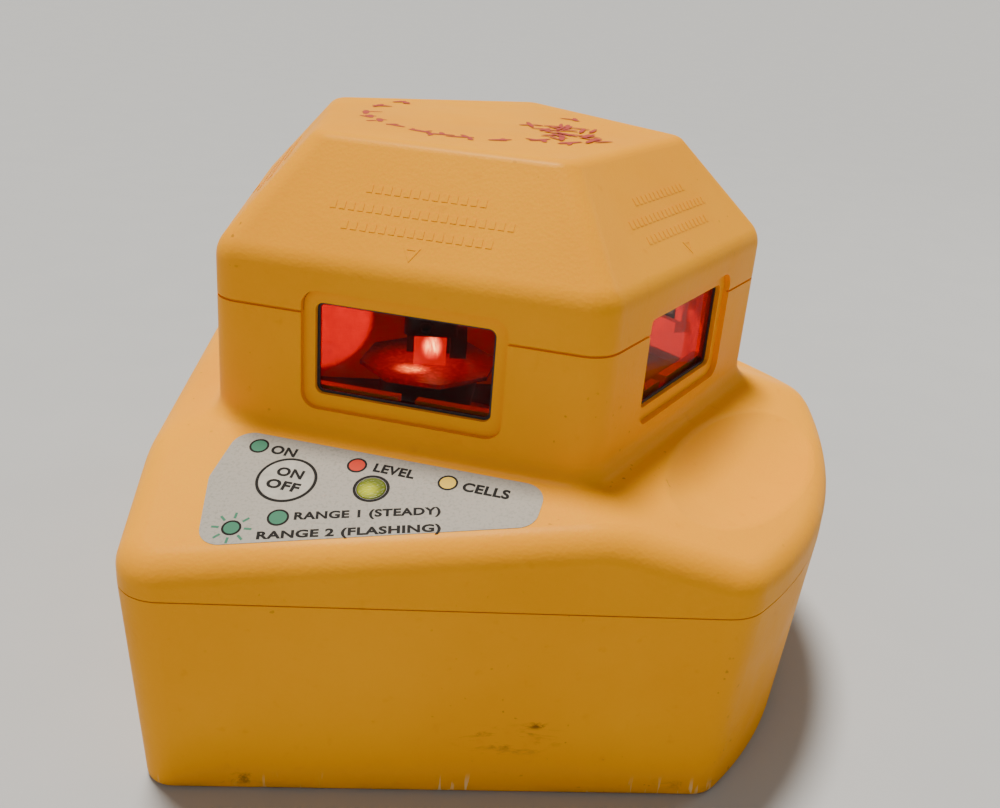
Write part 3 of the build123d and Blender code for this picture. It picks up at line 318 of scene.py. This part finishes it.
def metal_material(name, colour, rough, stretch=(1, 1, 18), scale=260.0):
    """Machined or drawn metal: fine turning lines, faint stains."""
    n = Net(name, colour, rough, 1.0)
    lines = n.noise(scale, 4.0, 0.6, stretch)
    dull = [c * 0.72 for c in colour]
    n.plug(n.mix(n.steps(n.noise(120.0, 3.0), 0.4, 0.75), colour, dull), "Base Color")
    n.plug(n.steps(lines, 0.3, 0.7, rough * 0.75, min(rough * 1.4, 0.9)), "Roughness")
    n.bump(lines, 0.00003, 0.35)
    return n.mat


def plain_moulding(name, colour, rough=0.5, scale=700.0):
    """Moulded plastic with a fine grain."""
    n = Net(name, colour, rough)
    lighter = [min(1.0, c * 1.7 + 0.01) for c in colour]
    n.plug(n.mix(n.noise(scale * 0.5, 3.0), colour, lighter), "Base Color")
    n.plug(n.steps(n.noise(scale * 0.2, 3.0), 0.3, 0.7, rough * 0.8, rough * 1.15), "Roughness")
    n.bump(n.noise(scale, 3.0), 0.00005, 0.4)
    return n.mat


# the rotor's lit places in mm: on the disc under the prism, in the light-guide block and in the side lens
DISC_HOT = (-5.0, -8.5, 77.5)
DISC_HALO = (-2.0, -5.0, 77.5)
BLOCK_CORE = (0.5, -4.6, 83.0)
RELAY_CENTRE = (6.4, -1.5, 83.6)
RED = (1.0, 0.0, 0.004)


def disc_material():
    """Rotor disc: dark, rough-turned, lit red by the beam with a hot patch at its middle."""
    n = Net("disc_lit", (0.05, 0.03, 0.03), 0.4, 0.4)
    grain = n.steps(n.noise(900.0, 4.0, 0.7), 0.4, 0.7)
    hot = n.steps(n.near(DISC_HOT, (6.5, 5.0, 4.0)), 1.0, 0.1)
    halo = n.steps(n.near(DISC_HALO, (21.0, 21.0, 8.0)), 1.0, 0.15)
    core = n.math("MULTIPLY", hot, n.steps(grain, 0.0, 1.0, 0.45, 1.0))
    n.plug(n.mix(core, (1.0, 0.0, 0.003), (1.0, 0.36, 0.06)), "Emission Color")
    strength = n.math("ADD", n.math("MULTIPLY", hot, 7.0), n.math("MULTIPLY", halo, 1.6))
    n.plug(n.math("MULTIPLY", strength, n.steps(grain, 0.0, 1.0, 0.55, 1.0)), "Emission Strength")
    n.plug(n.mix(grain, (0.025, 0.012, 0.012), (0.12, 0.04, 0.04)), "Base Color")
    n.bump(grain, 0.0001, 0.5)
    return n.mat


def beam_material():
    """Clear light-guide block on the beam axis, glowing where the beam scatters in it."""
    n = Net("beam_block_lit", (0.9, 0.5, 0.48), 0.12)
    streak = n.noise(420.0, 4.0, 0.6, (1.0, 1.0, 0.35), 1.2)
    core = n.steps(n.near(BLOCK_CORE, (3.4, 3.0, 4.6)), 1.0, 0.1)
    amount = n.math("MULTIPLY", core, n.steps(streak, 0.36, 0.62, 0.35, 1.0))
    n.plug(n.mix(amount, RED, (1.0, 0.62, 0.2)), "Emission Color")
    n.plug(n.math("ADD", n.math("MULTIPLY", amount, 14.0), 0.9), "Emission Strength")
    n.plug(n.mix(streak, (0.5, 0.02, 0.02), (0.8, 0.25, 0.22)), "Base Color")
    n.set("Transmission Weight", 0.55)
    return n.mat


def relay_material():
    """Side lens lit red along its rim."""
    n = Net("relay_lens_lit", (0.5, 0.05, 0.05), 0.1)
    rim = n.steps(n.near(RELAY_CENTRE, (8.0, 3.7, 3.7)), 0.45, 1.0)
    n.plug(n.mix(rim, (0.25, 0.004, 0.006), (1.0, 0.02, 0.025)), "Emission Color")
    n.plug(n.math("ADD", n.math("MULTIPLY", rim, 1.6), 0.2), "Emission Strength")
    n.plug(n.steps(n.noise(300.0, 3.0), 0.4, 0.7, 0.06, 0.2), "Roughness")
    return n.mat


def optic_material():
    """Polished optical glass."""
    n = Net("optic_glass", (0.95, 0.96, 0.96), 0.03)
    n.set("Transmission Weight", 0.9)
    n.set("IOR", 1.52)
    n.plug(n.steps(n.noise(300.0, 3.0), 0.55, 0.8, 0.02, 0.12), "Roughness")
    return n.mat


# smudges of the lower housing: middle and radii in mm, colour, amount, stretch of the streaks
front_wear = [
    ((22.0, -91.0, 17.0), (17.0, 8.0, 6.5), (0.33, 0.15, 0.02), 0.75, (1.0, 1.0, 3.2)),
    ((28.0, -91.5, 22.0), (4.5, 6.0, 1.8), (0.12, 0.05, 0.01), 0.9, (1.0, 1.0, 2.0)),
    ((-44.0, -90.0, 3.5), (22.0, 8.0, 2.6), (0.2, 0.1, 0.02), 0.8, (1.0, 1.0, 1.5)),
    ((70.0, -91.0, 4.0), (20.0, 8.0, 3.0), (0.28, 0.15, 0.04), 0.6, (1.0, 1.0, 1.5)),
]
shell_lower = shell_material("shell_lower", front_wear)
shell_upper = shell_material("shell_upper", [])
paints = {
    "rubber": black_rubber(),
    "pane": pane_material(),
    "label": label_material(),
    "lens": lens_material(),
    "led": plain_moulding("led_resin", (0.75, 0.78, 0.6), 0.2),
    "board": board_material(),
    "black": plain_moulding("black_moulding", (0.012, 0.012, 0.013), 0.5),
    "black_metal": metal_material("black_anodised", (0.02, 0.018, 0.02), 0.42),
    "steel": metal_material("turned_steel", (0.6, 0.6, 0.62), 0.3),
    "zinc": metal_material("zinc_plate", (0.66, 0.66, 0.62), 0.34, (1, 1, 1), 700.0),
    "brass": metal_material("turned_brass", (0.72, 0.52, 0.2), 0.3),
    "aluminium": metal_material("machined_aluminium", (0.68, 0.69, 0.71), 0.38),
    "copper": metal_material("turned_copper", (0.78, 0.36, 0.2), 0.3),
    "magnet": metal_material("nickel_plate", (0.58, 0.56, 0.54), 0.2, (1, 1, 1), 500.0),
    "cell": plain_moulding("cell_jacket", (0.03, 0.035, 0.045), 0.3),
    "motor": plain_moulding("lacquered_wire", (0.3, 0.08, 0.02), 0.3),
    "optic": optic_material(),
    "block": beam_material(),
    "disc": disc_material(),
    "relay": relay_material(),
    "button": plain_moulding("button_cap", (0.24, 0.235, 0.22), 0.5, 1500.0),
}
paint_of = {
    "lower_housing": shell_lower, "battery_door": shell_lower,
    "upper_housing": shell_upper, "roof_cap": shell_upper,
    "base_gasket": "rubber", "panel_label": "label", "status_lens": "lens", "status_led": "led",
    "power_button": "button", "panel_board": "board", "main_board": "board", "power_switch": "black",
    "board_components": "black", "battery_tray": "black", "rotor_dish": "black", "prism_holder": "black",
    "board_screws": "zinc", "housing_screws": "zinc", "cap_screws": "zinc", "chassis_screws": "zinc",
    "post_screws": "zinc", "prism_screws": "zinc", "battery_contacts": "zinc", "tripod_insert": "brass",
    "pendulum_weight": "brass", "laser_module": "brass", "battery_cell_1": "cell", "battery_cell_2": "cell",
    "chassis_plate": "aluminium", "chassis_posts": "aluminium", "gimbal_ring": "aluminium",
    "pendulum_tube": "aluminium", "damper_disc": "copper",
    "damper_magnets": "magnet", "motor_magnet": "magnet",
    "motor_stator": "motor", "collimator_lens": "optic", "penta_prism": "optic", "beam_block": "block",
    "rotor_disc": "disc", "relay_lens": "relay",
}
for name, node in nodes.items():
    paint = paint_of.get(name, "steel")
    if name.startswith("window_gasket"):
        paint = "rubber"
    elif name.startswith("window_"):
        paint = "pane"
    node.data.materials.clear()
    node.data.materials.append(paints[paint] if isinstance(paint, str) else paint)


# ------------------------------------------------------------------ printed panel and markings
ink = print_material("print_black", (0.004, 0.004, 0.005))
teal = print_material("print_teal", (0.045, 0.19, 0.12))
red_dot = print_material("print_red", (0.55, 0.04, 0.02))
yellow_dot = print_material("print_yellow", (0.72, 0.5, 0.06))
marker = print_material("marker_red", (0.42, 0.07, 0.06), 0.6)
PRINT_LIFT = 0.13  # mm above the panel's plane, just proud of the label
OUTLINE_LIFT = 0.15
CAP_LIFT = 0.19  # on the button's cap
PRINT_DEPTH = 0.02
BOLDER = 0.042  # growth of the lettering's outline, where its own size is 1
DOT_OUTLINE = 0.5
ROUND = 64  # corners of a printed circle


def own(piece, body, material):
    """Finishes a new piece: material and body."""
    piece.data.materials.clear()
    piece.data.materials.append(material)
    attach(piece, body)


def from_bmesh(name, bm, matrix):
    """An object of the bmesh, placed by its world matrix."""
    mesh = bpy.data.meshes.new(name)
    bm.to_mesh(mesh)
    bm.free()
    obj = bpy.data.objects.new(name, mesh)
    bpy.context.scene.collection.objects.link(obj)
    obj.matrix_world = matrix
    return obj


def add_polygon(bm, points, lift):
    """A thin raised polygon in mm on the piece's plane."""
    low = [bm.verts.new((x * MM, y * MM, (lift - PRINT_DEPTH) * MM)) for x, y in points]
    top = [bm.verts.new((x * MM, y * MM, lift * MM)) for x, y in points]
    bm.faces.new(top)
    bm.faces.new(list(reversed(low)))
    for i in range(len(points)):
        j = (i + 1) % len(points)
        bm.faces.new((low[i], low[j], top[j], top[i]))


def add_ring(bm, x, y, inner, outer, lift):
    """A thin raised ring in mm; inner 0 gives a disc."""
    circle = [(math.cos(math.tau * i / ROUND), math.sin(math.tau * i / ROUND)) for i in range(ROUND)]
    if inner <= 0:
        add_polygon(bm, [(x + outer * c, y + outer * s) for c, s in circle], lift)
        return
    rows = []
    base = lift - PRINT_DEPTH
    for radius, z in ((inner, base), (inner, lift), (outer, lift), (outer, base)):
        rows.append([bm.verts.new(((x + radius * c) * MM, (y + radius * s) * MM, z * MM)) for c, s in circle])
    for a in range(4):
        b = (a + 1) % 4
        for i in range(ROUND):
            j = (i + 1) % ROUND
            bm.faces.new((rows[a][i], rows[b][i], rows[b][j], rows[a][j]))


def embolden(mesh, amount):
    """Moves each outline of flat lettering outwards, in the curve's own units."""
    bm = bmesh.new()
    bm.from_mesh(mesh)
    bmesh.ops.remove_doubles(bm, verts=bm.verts, dist=0.0001)
    moves = []
    for vert in bm.verts:
        total = Vector()
        first = None
        for edge in vert.link_edges:
            if not edge.is_boundary:
                continue
            along = edge.verts[1].co - edge.verts[0].co
            out = Vector((along.y, -along.x, 0)).normalized()
            middle = (edge.verts[0].co + edge.verts[1].co) / 2
            if out.dot(edge.link_faces[0].calc_center_median() - middle) > 0:
                out = -out
            first = first or out
            total += out
        if total.length > 0.001:
            total.normalize()
            moves.append((vert, total * amount / max(total.dot(first), 0.5)))
    for vert, move in moves:
        vert.co += move
    bm.to_mesh(mesh)
    bm.free()


def text_piece(name, words, x, y, width, height, angle=0.0, lift=PRINT_LIFT, body="housing"):
    """Bold lettering fitted to a width and cap height in mm, centred on x, y, on the panel."""
    curve = bpy.data.curves.new(name, "FONT")
    curve.body = words
    curve.size = 1.0
    curve.space_character = 1.08
    curve.align_x = "CENTER"
    curve.align_y = "CENTER"
    curve.resolution_u = 4
    holder = bpy.data.objects.new(name + "_curve", curve)
    bpy.context.scene.collection.objects.link(holder)
    bpy.context.view_layer.update()
    mesh = bpy.data.meshes.new_from_object(holder.evaluated_get(bpy.context.evaluated_depsgraph_get()))
    bpy.data.objects.remove(holder)
    embolden(mesh, BOLDER)
    xs = [v.co.x for v in mesh.vertices]
    ys = [v.co.y for v in mesh.vertices]
    sx = width / (max(xs) - min(xs))
    sy = height / (max(ys) - min(ys))
    mid = Vector(((max(xs) + min(xs)) / 2, (max(ys) + min(ys)) / 2, 0))
    turn = Matrix.Rotation(math.radians(angle), 3, "Z")
    for v in mesh.vertices:
        local = v.co - mid
        flat = turn @ Vector((local.x * sx, local.y * sy, 0))
        v.co = Vector((x + flat.x, y + flat.y, lift)) * MM
    obj = bpy.data.objects.new(name, mesh)
    bpy.context.scene.collection.objects.link(obj)
    obj.matrix_world = PANEL
    own(obj, body, ink)


text_piece("text_on", "ON", -25.1, -8.5, 6.3, 2.9)
text_piece("text_level", "LEVEL", 2.2, -8.2, 9.8, 2.8)
text_piece("text_cells", "CELLS", 24.3, -8.9, 11.0, 2.9)
text_piece("text_range_1", "RANGE 1 (STEADY)", 1.0, -22.5, 32.2, 3.0, 17.7)
text_piece("text_range_2", "RANGE 2 (FLASHING)", -1.0, -28.6, 39.8, 3.0, 18.1)
text_piece("text_button_on", "ON", BUTTON[0], -14.9, 6.4, 2.9, 0, CAP_LIFT, "power_button_cap")
text_piece("text_button_off", "OFF", BUTTON[0], -19.0, 8.0, 2.9, 0, CAP_LIFT, "power_button_cap")


def dot(name, x, y, radius, material):
    """A coloured dot with a black outline."""
    bm = bmesh.new()
    add_ring(bm, x, y, 0, radius - DOT_OUTLINE / 2, PRINT_LIFT)
    own(from_bmesh(name, bm, PANEL), "housing", material)
    bm = bmesh.new()
    add_ring(bm, x, y, radius - DOT_OUTLINE, radius, OUTLINE_LIFT)
    own(from_bmesh(name + "_rim", bm, PANEL), "housing", ink)


dot("dot_on", -31.5, -8.3, 2.35, teal)
dot("dot_level", -6.8, -8.6, 2.35, red_dot)
dot("dot_cells", 15.2, -8.7, 2.35, yellow_dot)
dot("dot_range_1", -17.7, -28.4, 2.45, teal)
dot("dot_range_2", *DOT_RANGE_2, 2.2, teal)

# eight short rays round the lowest dot; a ray's corners are (outwards, sideways)
RAY = [(2.8, -0.3), (4.5, -0.28), (4.5, 0.28), (2.8, 0.3)]
bm = bmesh.new()
for i in range(8):
    a = math.radians(i * 45.0 + 10)
    c, s = math.cos(a), math.sin(a)
    corners = [(DOT_RANGE_2[0] + r * c - t * s, DOT_RANGE_2[1] + r * s + t * c) for r, t in RAY]
    add_polygon(bm, corners, PRINT_LIFT)
own(from_bmesh("rays_range_2", bm, PANEL), "housing", teal)

bm = bmesh.new()
add_ring(bm, *BUTTON, 6.38, 7.05, PRINT_LIFT)
own(from_bmesh("ring_button", bm, PANEL), "housing", ink)
bm = bmesh.new()
add_ring(bm, *LENS_RING, 3.5, 4.2, PRINT_LIFT)
own(from_bmesh("ring_lens", bm, PANEL), "housing", ink)

# ------------------------------------------------------------------ marker scrawl round the roof top
rng = random.Random(11)
STROKE_LIFT = 0.05
FACE_STEP = 0.0004  # mm that each face so far lifts the next stroke, so that crossings don't share a plane
# middles of the dashes round the roof top, in mm
ring_points = [
    (-32.6, 3.7), (-31.0, -3.0), (-28.4, -8.5), (-24.0, -15.5), (-18.0, -21.6), (-13.0, -24.6), (-8.3, -26.6),
    (1.4, -27.1), (11.5, -23.1), (18.8, -24.6), (25.0, 15.5), (21.4, 44.1), (11.6, 43.6), (-12.7, 37.8),
    (-24.3, 27.5), (-30.0, 17.0), (11.0, 0.4), (14.4, -6.5),
]
bm = bmesh.new()


def on_flat(x, y):
    """True inside the flat of the roof, clear of its rounded edge."""
    outward = (math.radians(a) for a in FACETS)
    return max(x * math.cos(a) + y * math.sin(a) for a in outward) < FLAT_APOTHEM


def stroke(x, y, turn, reach, width):
    """A hand-drawn tapering dash in mm on the roof top, left out where it would run off the flat."""
    along = Vector((math.cos(turn), math.sin(turn)))
    a = Vector((x, y)) - along * reach
    b = Vector((x, y)) + along * reach
    if not (on_flat(*a) and on_flat(*b)):
        return
    side = Vector((-along.y, along.x)) * width / 2
    taper = ((0, 0.45), (0.25, 1.0), (0.7, 0.9), (1, 0.5))
    edge = [a.lerp(b, t) + side * (w + rng.uniform(-0.2, 0.2)) for t, w in taper]
    edge += [a.lerp(b, t) - side * w for t, w in reversed(taper)]
    add_polygon(bm, [(p.x, p.y) for p in edge], STROKE_LIFT + FACE_STEP * len(bm.faces))


for x, y in ring_points:
    tangent = math.atan2(y - 5, x + 4) + math.pi / 2 + rng.uniform(-0.4, 0.4)
    stroke(x, y, tangent, rng.uniform(2.4, 4.2), rng.uniform(1.3, 1.9))
    for _ in range(2):
        near_x, near_y = x + rng.uniform(-2.6, 2.6), y + rng.uniform(-2.0, 2.0)
        stroke(near_x, near_y, tangent + rng.uniform(0.6, 2.4), rng.uniform(1.2, 2.2), rng.uniform(1.0, 1.5))
for _ in range(26):
    x, y = rng.uniform(15.0, 28.0), rng.uniform(-21.0, 2.0)
    turn = rng.choice((0.4, 1.2, 2.2, 2.8)) + rng.uniform(-0.3, 0.3)
    stroke(x, y, turn, rng.uniform(2.2, 4.6), rng.uniform(1.0, 1.6))
own(from_bmesh("roof_scrawl", bm, ROOF), "housing", marker)

# ------------------------------------------------------------------ laser light inside the turret
SPOT_BLEND = 0.15


def lamp(name, kind, place, energy, colour, size=0.0):
    """A light at a place in mm; size is in metres, and a sun has none."""
    data = bpy.data.lights.new(name, kind)
    data.energy = energy
    data.color = colour
    if kind == "AREA":
        data.shape = "DISK"
        data.size = size
    elif kind != "SUN":
        data.shadow_soft_size = size
    obj = bpy.data.objects.new(name, data)
    bpy.context.scene.collection.objects.link(obj)
    obj.location = Vector(place) * MM
    return obj


def aim(obj, target):
    """Turns a light towards a target in mm."""
    direction = Vector(target) * MM - obj.location
    obj.rotation_euler = direction.to_track_quat("-Z", "Y").to_euler()


def spot(name, place, target, energy, degrees):
    """A red spot thrown by the rotor's optics on an inner wall."""
    obj = lamp(name, "SPOT", place, energy, RED, 0.001)
    obj.data.spot_size = math.radians(degrees)
    obj.data.spot_blend = SPOT_BLEND
    aim(obj, target)


lamp("glow_left", "POINT", (-26, -6, 103), 0.04, RED, 0.004)
lamp("glow_right", "POINT", (46, -14, 100), 0.03, RED, 0.004)
lamp("glow_back", "POINT", (20, 30, 98), 0.02, RED, 0.004)
spot("throw_back", (-6, 14, 84), (-22, 51.5, 71), 0.8, 24)
spot("throw_left", (-6, 10, 84), (-35, 47.5, 70), 0.8, 17)
spot("throw_right", (12, 2, 88), (74, 18, 82), 0.3, 22)

# ------------------------------------------------------------------ studio
# a disc that is flat round the object and sweeps up gently towards its edge, in metres
FLOOR_GAP = 0.00005
FLAT_RADIUS = 1.5
FLOOR_SWEEP = 0.02
floor_bm = bmesh.new()
ring = None
for radius in (FLAT_RADIUS, 2.0, 2.5, 3.0, 4.0, 5.0, 6.5, 8.0, 10.0):
    height = FLOOR_SWEEP * (radius - FLAT_RADIUS) ** 2 - FLOOR_GAP
    angles = [math.tau * i / ROUND for i in range(ROUND)]
    outer = [floor_bm.verts.new((radius * math.cos(a), radius * math.sin(a), height)) for a in angles]
    if ring is None:
        floor_bm.faces.new(outer)
    else:
        for i in range(ROUND):
            j = (i + 1) % ROUND
            floor_bm.faces.new((ring[i], outer[i], outer[j], ring[j]))
    ring = outer
floor = from_bmesh("floor", floor_bm, Matrix.Identity(4))
for face in floor.data.polygons:
    face.use_smooth = True
paper = Net("floor_paper", (0.43, 0.455, 0.5), 0.8)
paper.plug(paper.mix(paper.noise(30.0, 4.0), (0.415, 0.44, 0.485), (0.445, 0.47, 0.515)), "Base Color")
paper.bump(paper.noise(600.0, 4.0), 0.0001, 0.2)
paper.set("Specular IOR Level", 0.1)
floor.data.materials.append(paper.mat)

key = lamp("key", "SUN", (-150, 190, 1150), 5.6, (1.0, 0.92, 0.78))
key.data.angle = math.radians(12.0)
aim(key, (10, 0, 90))
fill = lamp("fill", "AREA", (-500, -800, 620), 1.7, (1.0, 0.93, 0.8), 0.8)
aim(fill, (10, 0, 60))
rim = lamp("rim", "AREA", (700, 250, 520), 0.9, (1.0, 0.94, 0.82), 0.3)
aim(rim, (30, 0, 80))

world = bpy.data.worlds.new("studio")
world.use_nodes = True
background = world.node_tree.nodes["Background"]
background.inputs["Color"].default_value = (1.0, 0.93, 0.82, 1.0)
background.inputs["Strength"].default_value = 0.18
bpy.context.scene.world = world

# ------------------------------------------------------------------ camera
CAMERA_PLACE = (-4.5, -288.7, 187.6)  # mm
CAMERA_RIGHT = (0.99551, -0.05789, 0.07484)
CAMERA_FORWARD = (0.0827, 0.9166, -0.3912)
LENS_MM = 38.36
SENSOR_MM = 36.0
cam = bpy.data.cameras.new("camera")
cam.sensor_width = SENSOR_MM
cam.sensor_fit = "HORIZONTAL"
cam.lens = LENS_MM
cam.clip_start = 0.01
view = bpy.data.objects.new("camera", cam)
bpy.context.scene.collection.objects.link(view)
forward = Vector(CAMERA_FORWARD).normalized()
right = Vector(CAMERA_RIGHT)
right = (right - forward * right.dot(forward)).normalized()
up = right.cross(forward)
pose = Matrix((right, up, -forward)).transposed().to_4x4()
pose.translation = Vector(CAMERA_PLACE) * MM
view.matrix_world = pose
bpy.context.scene.camera = view
